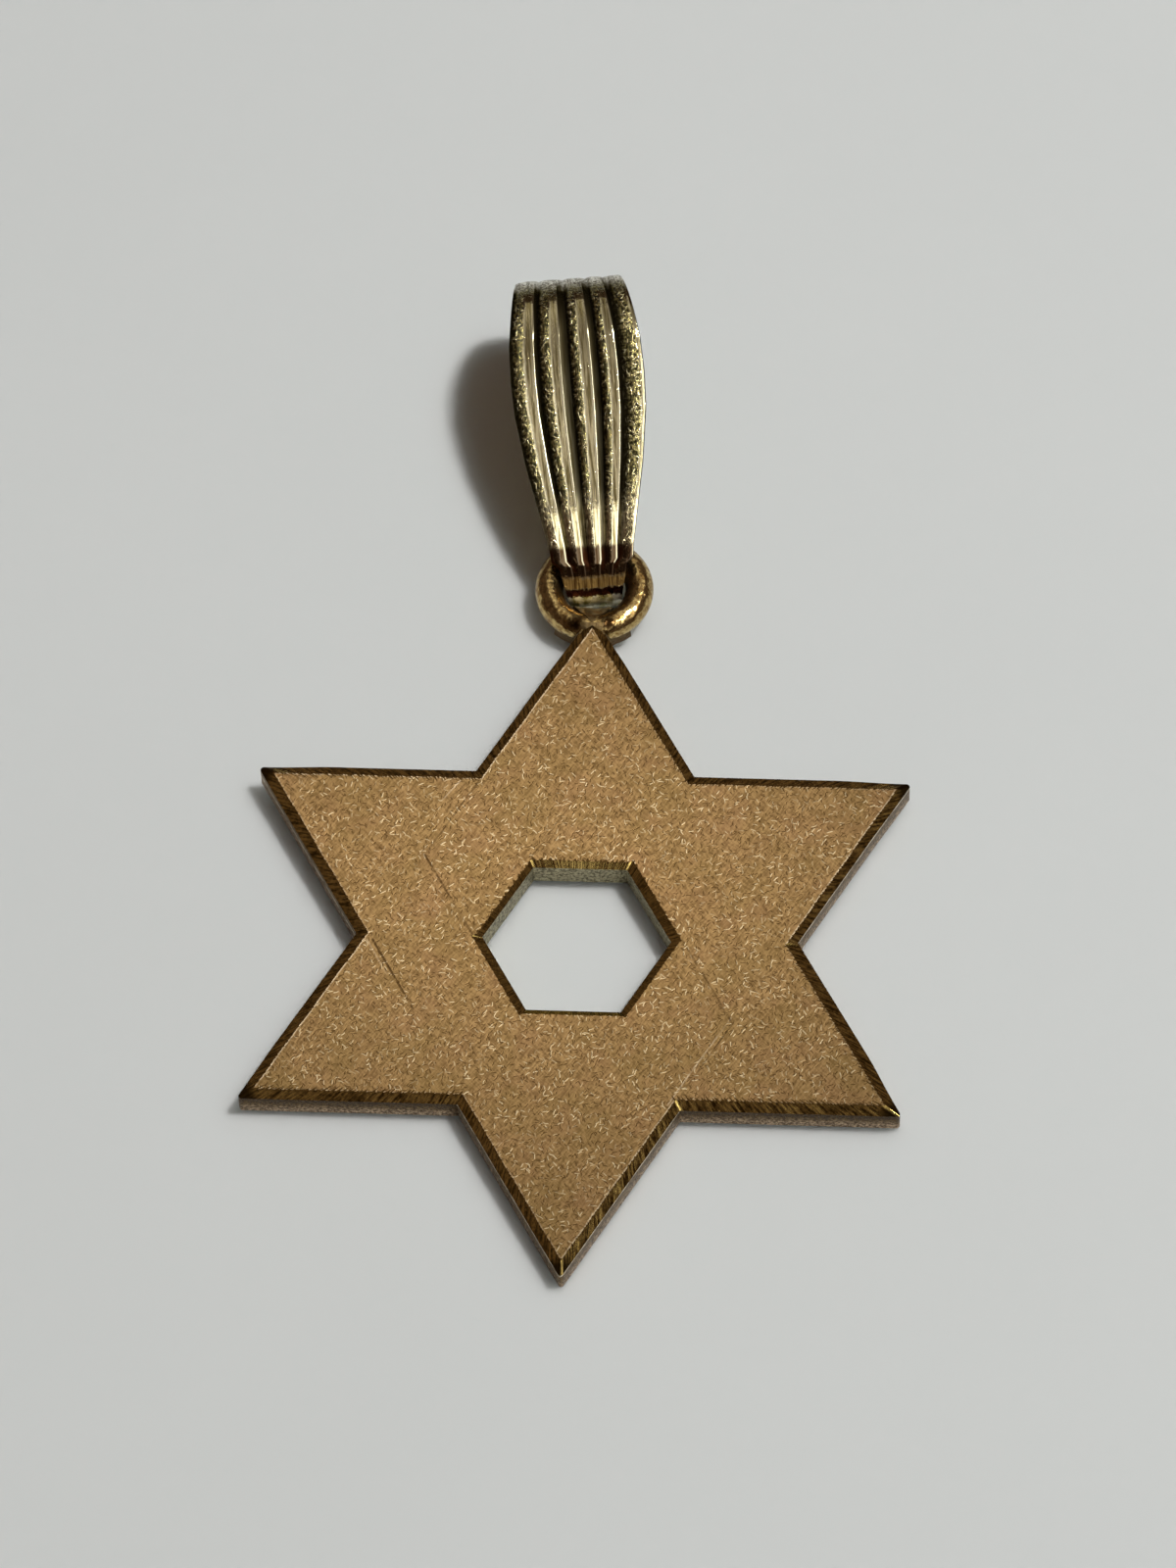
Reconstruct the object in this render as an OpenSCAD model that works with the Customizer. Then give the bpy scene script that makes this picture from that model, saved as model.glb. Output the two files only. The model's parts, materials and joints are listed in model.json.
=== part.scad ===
// Star of David pendant: a flat star plate with bright-cut edges and a hexagonal window,
// a plain wire ring soldered to its top point, and a fluted bail that hangs in the ring.
// It lies on its back: +X to the right, +Y towards the bail, +Z up, and z = 0 is the table.

/* [Star] */
// Distance from the centre to the points of the star
star_radius = 14.0; // [10:0.1:20]
// Thickness of the plate
plate_t = 1.1; // [0.8:0.05:1.8]
// Width of the bright cut along the star's edges
edge_cut_w = 0.31; // [0.15:0.01:0.5]
// Depth of the bright cut at the star's edges
edge_cut_d = 0.17; // [0.08:0.01:0.4]
// Rounding left on the points
tip_radius = 0.12; // [0.05:0.01:0.5]

/* [Window] */
// Width across the flats of the hexagonal window
window_flats = 6.0; // [4.4:0.1:8]
// Width of the bright cut along the window's edges
window_cut_w = 0.24; // [0.1:0.01:0.5]
// Depth of the bright cut at the window's edges
window_cut_d = 0.15; // [0.05:0.01:0.4]

/* [Ring] */
// Radius of the ring's hole
ring_hole_r = 1.17; // [1.1:0.01:1.6]
// Diameter of the ring's wire
ring_wire_d = 1.05; // [0.8:0.01:1.2]
// How far the star's top point reaches into the ring
point_lap = 0.9; // [0.5:0.05:1.5]
// Radius of the solder that fills the corners beside the point
solder_r = 0.62; // [0.4:0.01:0.9]

/* [Bail] */
// Thickness of the bail's strip
strip_t = 0.42; // [0.3:0.01:0.6]
// Width of the strip where it is widest
bail_w = 5.05; // [4:0.05:7]
// Distance from the ring's centre to the outside of the fold
bail_reach = 12.25; // [10:0.05:16]
// Inside radius of the fold that the chain runs in
fold_bore_r = 2.48; // [1.8:0.01:3.5]
// Inside radius of the shoulder over the ring's wire
shoulder_bend = 0.23; // [0.15:0.01:0.5]
// Inside radius of the closed end that hangs in the ring
toe_bend = 0.18; // [0.1:0.01:0.3]
// How far the shoulder stands out past the closed end
shoulder_run = 0.55; // [0.3:0.05:0.8]
// Turn of the bail to the left as it lies
bail_lean = 7; // [-10:0.5:10]

/* [Flutes] */
// Number of ribs along the bail
rib_count = 5; // [3:1:7]
// Depth of the valleys between the ribs
rib_depth = 0.17; // [0.05:0.01:0.2]

/* [Fits] */
// Gap between the ring's wire and the strip that it lies over
lay_gap = 0.06; // [0.03:0.01:0.2]
// Gap between each side of the closed end and the ring's hole
side_gap = 0.235; // [0.15:0.005:0.4]
// Room inside the closed end, up to the ring's wire
toe_room = 1.23; // [0.8:0.01:1.4]
// Room between the ring's wire and the shoulder over it
shoulder_room = 0.55; // [0.3:0.01:1]

/* [Hidden] */

TIP_STEPS = 6;
through = plate_t + 2;
cut_reach = 2 * star_radius;
side_r = star_radius / 2;
edge_slope = atan(edge_cut_d / edge_cut_w);
window_slope = atan(window_cut_d / window_cut_w);

wire_r = ring_wire_d / 2;
ring_mid_r = ring_hole_r + wire_r;
ring_y = star_radius - point_lap + ring_mid_r + wire_r;
ring_z = plate_t / 2;

// The bottom point touches the table and the ring's top wire lies over the bail's strip.
wire_lift = strip_t + lay_gap - (ring_z - wire_r);
tilt = asin(wire_lift / (star_radius + ring_y + ring_mid_r));

// The bail's side view is drawn round three circles, each with these columns.
Y = 0;
Z = 1;
R = 2;
fold_r = fold_bore_r + strip_t;
toe_r = toe_bend + strip_t;
shoulder_r = shoulder_bend + strip_t;
toe_y = ring_hole_r - toe_room + toe_bend;
shoulder_top = strip_t + lay_gap + ring_wire_d + shoulder_room + strip_t;
toe = [toe_y, toe_r, toe_r];
fold = [bail_reach - fold_r, fold_r, fold_r];
shoulder = [toe_y + shoulder_run, shoulder_top - shoulder_r, shoulder_r];

// Places along the strip: 0 to 1 under the bail, 1 to 2 round the fold, 2 to 3 down the front,
// 3 to 4 over the shoulder and down into the ring. The strip's width is a share of bail_w plus
// a share of end_w, and its flutes are a share of rib_depth.
PLACE = 0;
MAIN = 1;
END = 2;
RIBS = 3;
end_w = 2 * (ring_hole_r - side_gap);
strip = [
    [0.00, 0.00, 1.00, 0.00],
    [0.20, 0.02, 1.00, 0.40],
    [1.00, 0.59, 0.00, 1.00],
    [1.46, 0.69, 0.00, 1.00],
    [1.63, 0.78, 0.00, 1.00],
    [1.78, 0.86, 0.00, 1.00],
    [1.89, 0.92, 0.00, 1.00],
    [2.01, 0.98, 0.00, 1.00],
    [2.17, 1.00, 0.00, 1.00],
    [2.33, 0.98, 0.00, 1.00],
    [2.57, 0.87, 0.00, 1.00],
    [2.94, 0.63, 0.00, 1.00],
    [3.10, 0.57, 0.00, 0.70],
    [3.40, 0.10, 1.00, 0.20],
    [3.60, 0.03, 1.00, 0.00],
    [4.00, 0.00, 1.00, 0.00],
];
SHOULDER_PLACES = 0.3;
WEB_PLACES = 0.3;
TOE_PLACES = 0.4;
function strip_column(place, c) = lookup(place, [for (row = strip) [row[PLACE], row[c]]]);
function strip_width(place) = bail_w * strip_column(place, MAIN) + end_w * strip_column(place, END);

// Outward direction of the straight run that leaves circle a and meets circle b.
function run_angle(a, b) =
    let (dy = b[Y] - a[Y], dz = b[Z] - a[Z])
    atan2(dz, dy) - acos((a[R] - b[R]) / norm([dy, dz]));
function whole_turn(angle) = angle - 360 * floor(angle / 360);
under_angle = run_angle(toe, fold);
front_angle = whole_turn(run_angle(fold, shoulder));
web_angle = whole_turn(run_angle(shoulder, toe));

// Stations round a circle, and along the straight run from one circle to the next. Each is
// the circle it leaves, its outward direction, the circle it nears, how near, and its place.
FROM = 0;
TURN = 1;
NEXT = 2;
NEAR = 3;
AT = 4;
function arc(c, from, to, steps, place, places) =
    [for (i = [0:steps - 1]) [c, from + (to - from) * i / steps, c, 0, place + places * i / steps]];
function run(c, next, turn, steps, place, places) =
    [for (i = [0:steps - 1]) [c, turn, next, i / steps, place + places * i / steps]];
stations = concat(
    run(toe, fold, under_angle, 7, 0, 1),
    arc(fold, under_angle, front_angle, 20, 1, 1),
    run(fold, shoulder, front_angle, 12, 2, 1),
    arc(shoulder, front_angle, web_angle, 5, 3, SHOULDER_PLACES),
    run(shoulder, toe, web_angle, 4, 3 + SHOULDER_PLACES, WEB_PLACES),
    arc(toe, web_angle, under_angle + 360, 6, 4 - TOE_PLACES, TOE_PLACES)
);

function on_circle(c, turn, inset) =
    [c[Y] + (c[R] - inset) * cos(turn), c[Z] + (c[R] - inset) * sin(turn)];
function station_point(s, inset) =
    on_circle(s[FROM], s[TURN], inset) * (1 - s[NEAR]) + on_circle(s[NEXT], s[TURN], inset) * s[NEAR];

// One rib from valley to valley: share of its width, share of its height.
ACROSS = 0;
HEIGHT = 1;
rib_form = [[0, 0], [0.16, 0.62], [0.36, 0.95], [0.6, 1], [0.84, 0.62]];

// One section of the strip: its fluted outside from left to right, then its plain inside back.
across_count = rib_count * len(rib_form) + 1;
function section(s) =
    let (
        width = strip_width(s[AT]),
        depth = rib_depth * strip_column(s[AT], RIBS) * width / bail_w
    )
    concat(
        [for (k = [0:across_count - 1])
            let (
                form = rib_form[k % len(rib_form)],
                across = (floor(k / len(rib_form)) + form[ACROSS]) / rib_count,
                p = station_point(s, depth * (1 - form[HEIGHT]))
            )
            [(across - 0.5) * width, p[Y], p[Z]]],
        [for (side = [0.5, 0, -0.5])
            let (p = station_point(s, strip_t))
            [side * width, p[Y], p[Z]]]
    );

loop_count = across_count + 3;
bail_points = [for (s = stations) each section(s)];
function index(i, k) = (i % len(stations)) * loop_count + k % loop_count;
bail_faces = [for (i = [0:len(stations) - 1]) for (k = [0:loop_count - 1]) each [
    [index(i, k), index(i, k + 1), index(i + 1, k + 1)],
    [index(i, k), index(i + 1, k + 1), index(i + 1, k)]
]];

// Everything is moved so that the middle of its length lies over the origin.
fold_end_w = strip_width(1 - under_angle / (front_angle - under_angle));
front_end = star_radius - tip_radius;
back_end = ring_y + bail_reach * cos(bail_lean) + fold_end_w / 2 * abs(sin(bail_lean));
middle_y = (back_end - front_end) / 2;

// One of the star's two triangles, point up, with a bright cut along its three sides.
module cut_triangle() {
    corner_r = star_radius - 2 * tip_radius;
    difference() {
        linear_extrude(plate_t)
            polygon([for (corner = [90, 210, 330]) for (i = [0:TIP_STEPS])
                let (turn = corner - 60 + 120 * i / TIP_STEPS)
                corner_r * [cos(corner), sin(corner)] + tip_radius * [cos(turn), sin(turn)]]);
        for (side = [30, 150, 270])
            rotate(side)
                translate([side_r - edge_cut_w, -cut_reach / 2, plate_t])
                    rotate([0, edge_slope, 0])
                        translate([-edge_cut_w, 0, 0])
                            cube([through, cut_reach, plate_t]);
    }
}

// The window as a solid to take away: a hexagon, wider where its edges are cut bright.
module window_cutter() {
    straight_r = window_flats / 2;
    bright_r = straight_r + window_cut_w;
    cut_z = plate_t - window_cut_d;
    linear_extrude(2 * through, center = true)
        circle(straight_r / cos(30), $fn = 6);
    difference() {
        translate([0, 0, cut_z])
            linear_extrude(through)
                circle(bright_r / cos(30), $fn = 6);
        for (side = [30:60:330])
            rotate(side)
                translate([straight_r, -window_flats, cut_z])
                    rotate([0, -window_slope, 0])
                        translate([0, 0, -through])
                            cube([through, 2 * window_flats, through]);
    }
}

// The plate, with the solder that joins its top point to the ring.
module plate() {
    difference() {
        union() {
            cut_triangle();
            rotate(180) cut_triangle();
            translate([0, ring_y - ring_mid_r, 0])
                cylinder(h = plate_t - edge_cut_d, r = solder_r, $fn = 48);
        }
        window_cutter();
        translate([0, ring_y, -1])
            cylinder(h = through, r = ring_hole_r, $fn = 64);
    }
}

module ring() {
    translate([0, ring_y, ring_z])
        rotate_extrude($fn = 96)
            translate([ring_mid_r, 0])
                circle(wire_r, $fn = 48);
}

// The star and its ring are one soldered piece, tilted by the strip that lies under the ring.
module star_with_ring() {
    color("tan")
        translate([0, -middle_y - star_radius, 0])
            rotate([tilt, 0, 0])
                translate([0, star_radius, 0]) {
                    plate();
                    ring();
                }
}

module bail() {
    color("goldenrod")
        translate([0, ring_y - middle_y, 0])
            rotate(bail_lean)
                polyhedron(bail_points, bail_faces, convexity = 6);
}

star_with_ring();
bail();
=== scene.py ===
import json
import math

import bpy
import numpy as np
from mathutils import Matrix, Vector


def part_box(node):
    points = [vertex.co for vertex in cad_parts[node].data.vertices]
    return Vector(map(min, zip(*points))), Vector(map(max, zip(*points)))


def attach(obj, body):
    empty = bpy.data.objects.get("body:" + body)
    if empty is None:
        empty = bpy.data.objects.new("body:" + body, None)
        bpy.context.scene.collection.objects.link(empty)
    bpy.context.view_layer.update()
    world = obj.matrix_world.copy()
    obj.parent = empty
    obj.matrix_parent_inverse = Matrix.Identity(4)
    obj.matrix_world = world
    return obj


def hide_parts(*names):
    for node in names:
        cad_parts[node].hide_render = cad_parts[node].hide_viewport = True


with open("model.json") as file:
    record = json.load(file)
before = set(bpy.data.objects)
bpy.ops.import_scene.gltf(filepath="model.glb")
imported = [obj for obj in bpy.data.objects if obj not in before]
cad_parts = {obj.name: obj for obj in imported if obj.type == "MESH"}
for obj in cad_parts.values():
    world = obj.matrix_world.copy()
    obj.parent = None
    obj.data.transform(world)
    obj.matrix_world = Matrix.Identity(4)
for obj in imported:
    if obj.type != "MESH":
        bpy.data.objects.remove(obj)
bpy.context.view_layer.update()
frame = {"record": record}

# Camera
# A long lens looks down on the lying pendant from below its bottom point, a little to its right,
# and is turned two degrees in its own frame.
camera_place = Vector((0.013849, -0.189210, 0.312335))
camera_target = Vector((0.000265, -0.002098, 0.004230))
camera_roll = math.radians(-2.0254)
camera_back = (camera_place - camera_target).normalized()
level_right = Vector((0, 0, 1)).cross(camera_back).normalized()
level_up = camera_back.cross(level_right)
camera_right = math.cos(camera_roll) * level_right + math.sin(camera_roll) * level_up
camera_up = camera_back.cross(camera_right)
lens = bpy.data.cameras.new("camera")
lens.lens = 225.9
lens.sensor_width = 36
lens.clip_start = 0.01
camera = bpy.data.objects.new("camera", lens)
camera.matrix_world = Matrix((
    (camera_right.x, camera_up.x, camera_back.x, camera_place.x),
    (camera_right.y, camera_up.y, camera_back.y, camera_place.y),
    (camera_right.z, camera_up.z, camera_back.z, camera_place.z),
    (0, 0, 0, 1),
))
bpy.context.scene.collection.objects.link(camera)
bpy.context.scene.camera = camera

# Table
# A sheet of smooth, faintly green-white board. Light spreads a little inside it, so that narrow shadows
# at its surface are soft and pale. Its top lies at z = 0.
card_half = 0.6
card_t = 0.004
card_drop = 0.00001
card_shade = (0.752, 0.797, 0.796)
card_light = (0.776, 0.822, 0.821)


def new_material(name):
    """An empty node material with a Principled surface. Gives the material, its tree and the surface."""
    made = bpy.data.materials.new(name)
    made.use_nodes = True
    tree = made.node_tree
    return made, tree, tree.nodes["Principled BSDF"]


def add(tree, kind, inputs, **settings):
    """One shader node. inputs maps its sockets' names or numbers to values, or to sockets to wire in."""
    made = tree.nodes.new("ShaderNode" + kind)
    for name, value in settings.items():
        setattr(made, name, value)
    for socket, value in inputs.items():
        if isinstance(value, bpy.types.NodeSocket):
            tree.links.new(value, made.inputs[socket])
        else:
            made.inputs[socket].default_value = value
    return made


def calc(tree, operation, *values):
    """One step of arithmetic on numbers or sockets."""
    return add(tree, "Math", dict(enumerate(values)), operation=operation).outputs[0]


def fade(tree, value, start, end, low=0.0, high=1.0):
    """Goes smoothly from low to high as value goes from start to end, which may run downwards."""
    if start > end:
        start, end, low, high = end, start, high, low
    return add(tree, "MapRange", {0: value, 1: start, 2: end, 3: low, 4: high},
               interpolation_type="SMOOTHSTEP").outputs[0]


def tint(tree, share, first, second):
    """The first colour turning into the second by share. A colour is a socket, or its red, green, blue."""
    sides = [side if isinstance(side, bpy.types.NodeSocket) else (*side, 1) for side in (first, second)]
    return add(tree, "Mix", {0: share, 6: sides[0], 7: sides[1]}, data_type="RGBA").outputs[2]


def grain(tree, place, scale, detail=2.0, roughness=0.5):
    """Soft random values from 0 to 1, scale lumps to a unit of place."""
    return add(tree, "TexNoise", {"Vector": place, "Scale": scale, "Detail": detail,
                                  "Roughness": roughness}).outputs[0]


def millimetres(tree, centre=(0, 0, 0)):
    """Places on the piece in millimetres from a point that is given in millimetres."""
    place = add(tree, "TexCoord", {}).outputs["Object"]
    return add(tree, "Mapping", {"Vector": place, "Location": tuple(-c for c in centre),
                                 "Scale": (1000, 1000, 1000)}).outputs[0]


card_corners = [(x * card_half, y * card_half, z) for z in (-card_drop - card_t, -card_drop)
                for x, y in ((-1, -1), (1, -1), (1, 1), (-1, 1))]
card_mesh = bpy.data.meshes.new("table_card")
card_mesh.from_pydata(card_corners, [], [(3, 2, 1, 0), (4, 5, 6, 7), (0, 1, 5, 4), (1, 2, 6, 5), (2, 3, 7, 6),
                                         (3, 0, 4, 7)])
card = bpy.data.objects.new("table_card", card_mesh)
bpy.context.scene.collection.objects.link(card)
card_material, card_tree, card_surface = new_material("table_card")
card_cloud = grain(card_tree, millimetres(card_tree), 0.05)
card_tree.links.new(tint(card_tree, card_cloud, card_shade, card_light), card_surface.inputs["Base Color"])
card_surface.inputs["Roughness"].default_value = 0.85
card_surface.inputs["Specular IOR Level"].default_value = 0.2
card_surface.inputs["Subsurface Weight"].default_value = 1
card_surface.inputs["Subsurface Radius"].default_value = (1, 1, 1)
card_surface.inputs["Subsurface Scale"].default_value = 0.0014
card_mesh.materials.append(card_material)

# Studio light
# A small key, high on the right, lights the table and draws the shadow. The other panels only show in
# the gold: a wide dim one over the right side with its bright borders, which stand in the bail's ribs as
# pairs of lines, and one on the camera's side, which brightens the ribs' ends.
panel_height = 0.8


def level_light(name, right, away, glow, colour, lower=0.0, on_table=False):
    """A level panel that faces down at panel_height less lower. It spans the angles right and away from
    upright, in degrees, towards +X and +Y, and its power is its glow times pi times its area."""
    height = panel_height - lower
    low_x, high_x = (height * math.tan(math.radians(a)) for a in right)
    low_y, high_y = (height * math.tan(math.radians(a)) for a in away)
    data = bpy.data.lights.new(name, "AREA")
    data.shape = "RECTANGLE"
    data.size = high_x - low_x
    data.size_y = high_y - low_y
    data.energy = glow * math.pi * data.size * data.size_y
    data.color = colour
    made = bpy.data.objects.new(name, data)
    made.location = ((low_x + high_x) / 2, (low_y + high_y) / 2, height)
    made.visible_diffuse = on_table
    bpy.context.scene.collection.objects.link(made)


level_light("key", (20.8, 25.8), (0.4, 5.4), 333, (1, 0.992, 0.98), lower=0.02, on_table=True)
level_light("panel", (7, 27), (-14, 48), 0.32, (1, 0.97, 0.92))
level_light("panel_near_border", (-12, 7), (-14, 42), 0.85, (1, 0.97, 0.90), lower=0.01)
level_light("panel_far_border", (27, 37), (-44, 42), 1.95, (1, 0.97, 0.90), lower=0.01)
level_light("panel_near_end", (0, 7), (42, 59), 0.85, (1, 0.97, 0.90), lower=0.01)
level_light("camera_side", (9, 38), (-60, -15.5), 1.5, (1, 0.98, 0.94), lower=0.015)
room = bpy.data.worlds.new("dark_room")
room.use_nodes = True
room.node_tree.nodes["Background"].inputs["Color"].default_value = (1.0, 0.66, 0.50, 1)
room.node_tree.nodes["Background"].inputs["Strength"].default_value = 0.092
bpy.context.scene.world = room
bpy.context.scene.view_settings.view_transform = "Standard"

# Star, solder and ring
# A hexagram cut from gold plate with a hexagonal window. Its face is frosted, and a graver has cut
# all its front edges bright. A ring of round wire is soldered to the top point, so it is all one piece.
star_radius = 14.0
plate_t = 1.1
edge_cut_w = 0.31
edge_cut_d = 0.17
tip_radius = 0.12
tip_centre = star_radius - 2 * tip_radius
tip_turn = math.atan2(tip_radius * math.sin(math.pi / 3), tip_centre + tip_radius / 2)
fuller_ease = 0.12
back_edge_in = 0.03
star_under_cad = 0.003
window_r = 3.0
window_cut_w = 0.24
window_cut_d = 0.15
ring_hole_r = 1.17
ring_wire_r = 0.525
point_lap = 0.9
side_r = star_radius / 2
ring_mid_r = ring_hole_r + ring_wire_r
ring_y = star_radius - point_lap + ring_mid_r + ring_wire_r
ring_z = plate_t / 2

# The star's turn as it lies comes from the face that it rests on, and its place from its CAD node.
back_axis = next(m for m in frame["record"]["mounts"] if m["name"] == "star_back")["axis"]
tilt = math.atan2(back_axis[1], -back_axis[2])
star_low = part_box("star_with_ring")[0]
pivot_y = 1000 * star_low.y - tip_radius + (plate_t - edge_cut_d) * math.sin(tilt)
centre_y = pivot_y + star_radius * math.cos(tilt)

# The sides, from the right notch round by the left: each side's outward direction in degrees, the
# share of the full width that the graver cut, its tooth marks, its burr, the strength of the painted
# highlight line on its wall, how far below the cut that runs, and how much fuller the side was left by the
# saw.
side_table = np.array([
    # turn, width, teeth, burr, line, line down, fuller
    (330, 1.02, 0.3, 1.0, 0.9, 0.03, -0.04),
    (90, 1.05, 0.7, 0.3, 0.0, 0.03, 0.07),
    (30, 1.05, 0.7, 0.2, 0.0, 0.03, 0.05),
    (150, 1.12, 0.2, 1.0, 0.1, 0.03, 0.04),
    (90, 1.02, 1.2, 0.9, 0.0, 0.03, 0.08),
    (210, 1.15, 0.3, 0.3, 1.0, 0.34, 0.0),
    (150, 1.18, 0.2, 1.0, 0.0, 0.03, 0.04),
    (270, 1.04, 1.3, 0.3, 0.0, 0.03, 0.0),
    (210, 1.02, 0.3, 0.3, 0.8, 0.08, 0.0),
    (330, 1.00, 0.3, 0.9, 1.0, 0.03, 0.0),
    (270, 1.12, 1.2, 0.2, 0.0, 0.03, 0.0),
    (30, 1.18, 0.7, 0.2, 0.0, 0.03, 0.10),
])
SIDE_TURN, CUT_SHARE, TEETH, BURR, WALL_LINE, LINE_DOWN, FULLER = range(7)
# The window's sides, from the upper right one round by the left.
window_table = np.array([
    # width, teeth
    (1.40, 0.5),
    (1.00, 1.0),
    (0.80, 0.8),
    (1.45, 0.4),
    (1.00, 0.2),
    (1.25, 0.3),
])
WINDOW_CUT, WINDOW_TEETH = range(2)
SIDE_STEPS = 130
TIP_STEPS = 5
SIDE_EASE = 4
WINDOW_EASE = 2
LOWEST_COSINE = 0.15
FAR_OFF = 99.0
POINT_SPAN = 0.8


def walk_round(side_steps, tip_steps):
    """Angles once round the star, in radians, from the right notch. Each side is stepped evenly in
    length from notch to point, with closer steps on the rounding of the point, and then mirrored."""
    along = np.linspace(math.tan(math.pi / 6), math.tan(math.pi / 3 - tip_turn), side_steps, endpoint=False)
    half = np.concatenate([np.arctan(along) - math.pi / 6,
                           np.linspace(math.pi / 6 - tip_turn, math.pi / 6, tip_steps, endpoint=False)])
    sector = np.concatenate([half, [math.pi / 6], math.pi / 3 - half[:0:-1]])
    return (np.arange(6)[:, None] * math.pi / 3 + sector[None, :]).ravel()


def reach_to_line(theta, turn, away):
    """Way out from the centre to a straight line at distance away and outward direction turn: away
    over the cosine between them, and far off where the angle looks past the line."""
    cosine = np.cos(theta - turn)
    return np.where(cosine > LOWEST_COSINE, away / np.maximum(cosine, LOWEST_COSINE), FAR_OFF)


def star_reach(theta, cuts):
    """Outline of the star whose twelve sides stand in by cuts: near each point the nearer of its two
    sides, and over all six points the farthest."""
    reach = np.zeros_like(theta)
    for point in range(6):
        turns = np.radians(side_table[2 * point:2 * point + 2, SIDE_TURN])
        near = np.minimum(reach_to_line(theta, turns[0], side_r - cuts[2 * point]),
                          reach_to_line(theta, turns[1], side_r - cuts[2 * point + 1]))
        aside = np.angle(np.exp(1j * (theta - math.radians(30 + 60 * point))))
        reach = np.maximum(reach, np.where(np.abs(aside) < POINT_SPAN, near, 0))
    return reach


def rounded_reach(theta):
    """The star's outer outline: near each point the arc of the tip's circle and the even sides, and
    farther off the sides that were left fuller, eased in over a few millimetres."""
    aside = theta % (math.pi / 3) - math.pi / 6
    on_tip = np.abs(aside) < tip_turn
    inside = np.where(on_tip, tip_radius ** 2 - (tip_centre * np.sin(aside)) ** 2, 0)
    arc = tip_centre * np.cos(aside) + np.sqrt(np.maximum(inside, 0))
    straight = star_reach(theta, np.zeros(12))
    way = np.clip((np.abs(aside) - tip_turn) / fuller_ease, 0, 1)
    fuller = star_reach(theta, -side_table[:, FULLER]) - straight
    return np.where(on_tip, arc, straight) + way ** 2 * (3 - 2 * way) * fuller


def running_length(x, y):
    """Length walked along a closed outline up to each of its places, and the whole length."""
    steps = np.hypot(np.roll(x, -1) - x, np.roll(y, -1) - y)
    return np.concatenate([[0], np.cumsum(steps)])


def eased(values, reach):
    """The mean of each value round a closed row and its neighbours up to reach away."""
    return sum(np.roll(values, k) for k in range(-reach, reach + 1)) / (2 * reach + 1)


def laid_down(x, y, z):
    """Star millimetres to row metres: turned by the tilt about the bottom point, then put in place."""
    out_y = pivot_y + (y + star_radius) * math.cos(tilt) - z * math.sin(tilt)
    out_z = (y + star_radius) * math.sin(tilt) + z * math.cos(tilt)
    return np.stack([x, out_y, out_z], -1) / 1000


def closed_loops(rows, columns, first=0):
    """Quads of a surface that closes both ways: row i to i + 1 and column j to j + 1."""
    i, j = np.meshgrid(np.arange(rows), np.arange(columns), indexing="ij")
    i2, j2 = (i + 1) % rows, (j + 1) % columns
    quads = np.stack([i * columns + j, i2 * columns + j, i2 * columns + j2, i * columns + j2], -1)
    return quads.reshape(-1, 4) + first


theta = walk_round(SIDE_STEPS, TIP_STEPS)
side_of = np.minimum((theta / (math.pi / 6)).astype(int), 11)
window_side_of = side_of // 2
outer = rounded_reach(theta) - star_under_cad
run_out = running_length(outer * np.cos(theta), outer * np.sin(theta))
# The graver's hand wavered by hundredths of a millimetre. Each wave has a height, radians to a
# millimetre and a start.
hand_waves = ((0.008, 1.9, 0), (0.006, 4.3, 1))
hand = sum(height * np.sin(turns * run_out[:-1] + start) for height, turns, start in hand_waves)
cut_widths = edge_cut_w * side_table[:, CUT_SHARE]
inner = star_reach(theta, cut_widths) + hand
cut_depth = eased(edge_cut_d * side_table[side_of, CUT_SHARE], SIDE_EASE)
window_turn = np.radians(30 + 60 * window_side_of)
window_cosine = np.cos(theta - window_turn)
window_low = window_r / window_cosine
window_cuts = window_cut_w * window_table[window_side_of, WINDOW_CUT]
window_high = (window_r + eased(window_cuts, WINDOW_EASE)) / window_cosine
run_in = running_length(window_low * np.cos(theta), window_low * np.sin(theta))

# The section through the plate at every angle, from the bottom of the window's wall over the face
# to the outer wall and back under the plate: reach, height and finish of each loop.
FACE, CUT, WALL, RING, SOLDER = range(5)
section = []
for share in (0.0, 0.25, 0.5, 0.75, 1.0):
    section.append((window_low, share * (plate_t - window_cut_d) + 0 * theta, WALL if share < 1 else CUT))
for share in (0.5, 1.0):
    section.append((window_low + share * (window_high - window_low),
                    plate_t - (1 - share) * window_cut_d + 0 * theta, CUT if share < 1 else FACE))
for share in (0.04, 0.15, 0.4, 0.65, 0.85, 0.96, 1.0):
    section.append((window_high + share * (inner - window_high), plate_t + 0 * theta,
                    FACE if share < 1 else CUT))
for share in (0.5, 1.0):
    section.append((inner + share * (outer - inner), plate_t - share * cut_depth, CUT if share < 1 else WALL))
for share in (0.75, 0.5, 0.25, 0.05, 0.0):
    section.append((outer - (0 if share else back_edge_in), share * (plate_t - cut_depth), WALL))
for share in (0.7, 0.3):
    section.append((window_low + share * (outer - window_low), 0 * theta, WALL))
plate_r = np.array([s[0] for s in section])
plate_z = np.array([s[1] for s in section])
plate_finish = np.repeat([s[2] for s in section], len(theta))
plate_points = laid_down(plate_r * np.cos(theta), plate_r * np.sin(theta), plate_z).reshape(-1, 3)
plate_quads = closed_loops(len(section), len(theta))

# How far each place is from the top border of the two bright cuts, along the surface: more than 0 on
# the face, less than 0 down the cut and the wall.
side_turn = np.radians(side_table[side_of, SIDE_TURN])
rim = (side_r - cut_widths[side_of]) + hand - plate_r * np.cos(theta - side_turn) - (plate_t - plate_z)
window_rim = plate_r * window_cosine - window_r - window_cuts - (plate_t - plate_z)


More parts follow.
